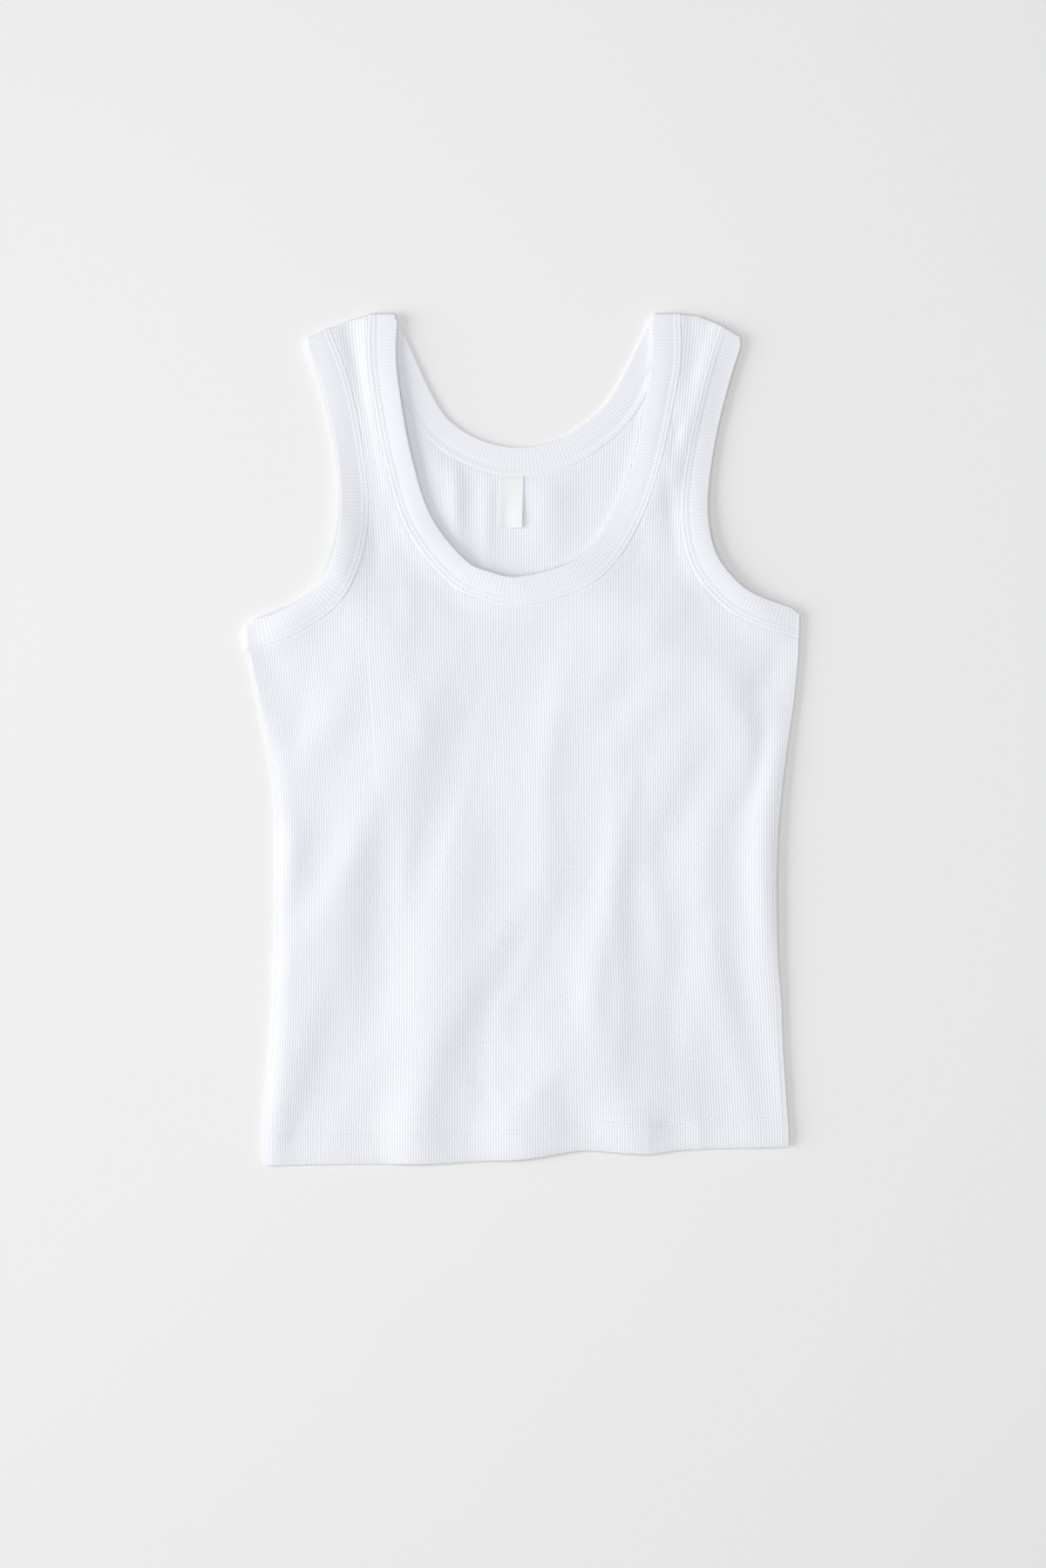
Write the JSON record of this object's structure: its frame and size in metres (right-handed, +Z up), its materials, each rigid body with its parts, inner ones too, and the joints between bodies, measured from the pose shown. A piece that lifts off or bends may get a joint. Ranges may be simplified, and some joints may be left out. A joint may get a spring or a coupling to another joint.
{
  "type": "tank top",
  "caption": "White ribbed sleeveless top laid flat on its back, with a deep bound scoop neck, bound armholes, a turned-up hem and a plain neck label.",
  "frame": {"origin": "middle of the laid garment's footprint, on the surface that it lies on", "axes": "+X to the right of someone who looks down on the front, +Y from the hem to the shoulders, +Z up off the surface"},
  "size_m": [0.381, 0.5867, 0.0075],
  "materials": {
    "panel_rib": "matte ribbed jersey",
    "binding_rib": "matte ribbed jersey",
    "label_satin": "woven satin tape"
  },
  "bodies": {
    "root": {"front_panel": "panel_rib", "back_panel": "panel_rib", "neck_binding": "binding_rib", "armhole_binding_left": "binding_rib", "armhole_binding_right": "binding_rib", "neck_label": "label_satin"}
  },
  "joints": []
}
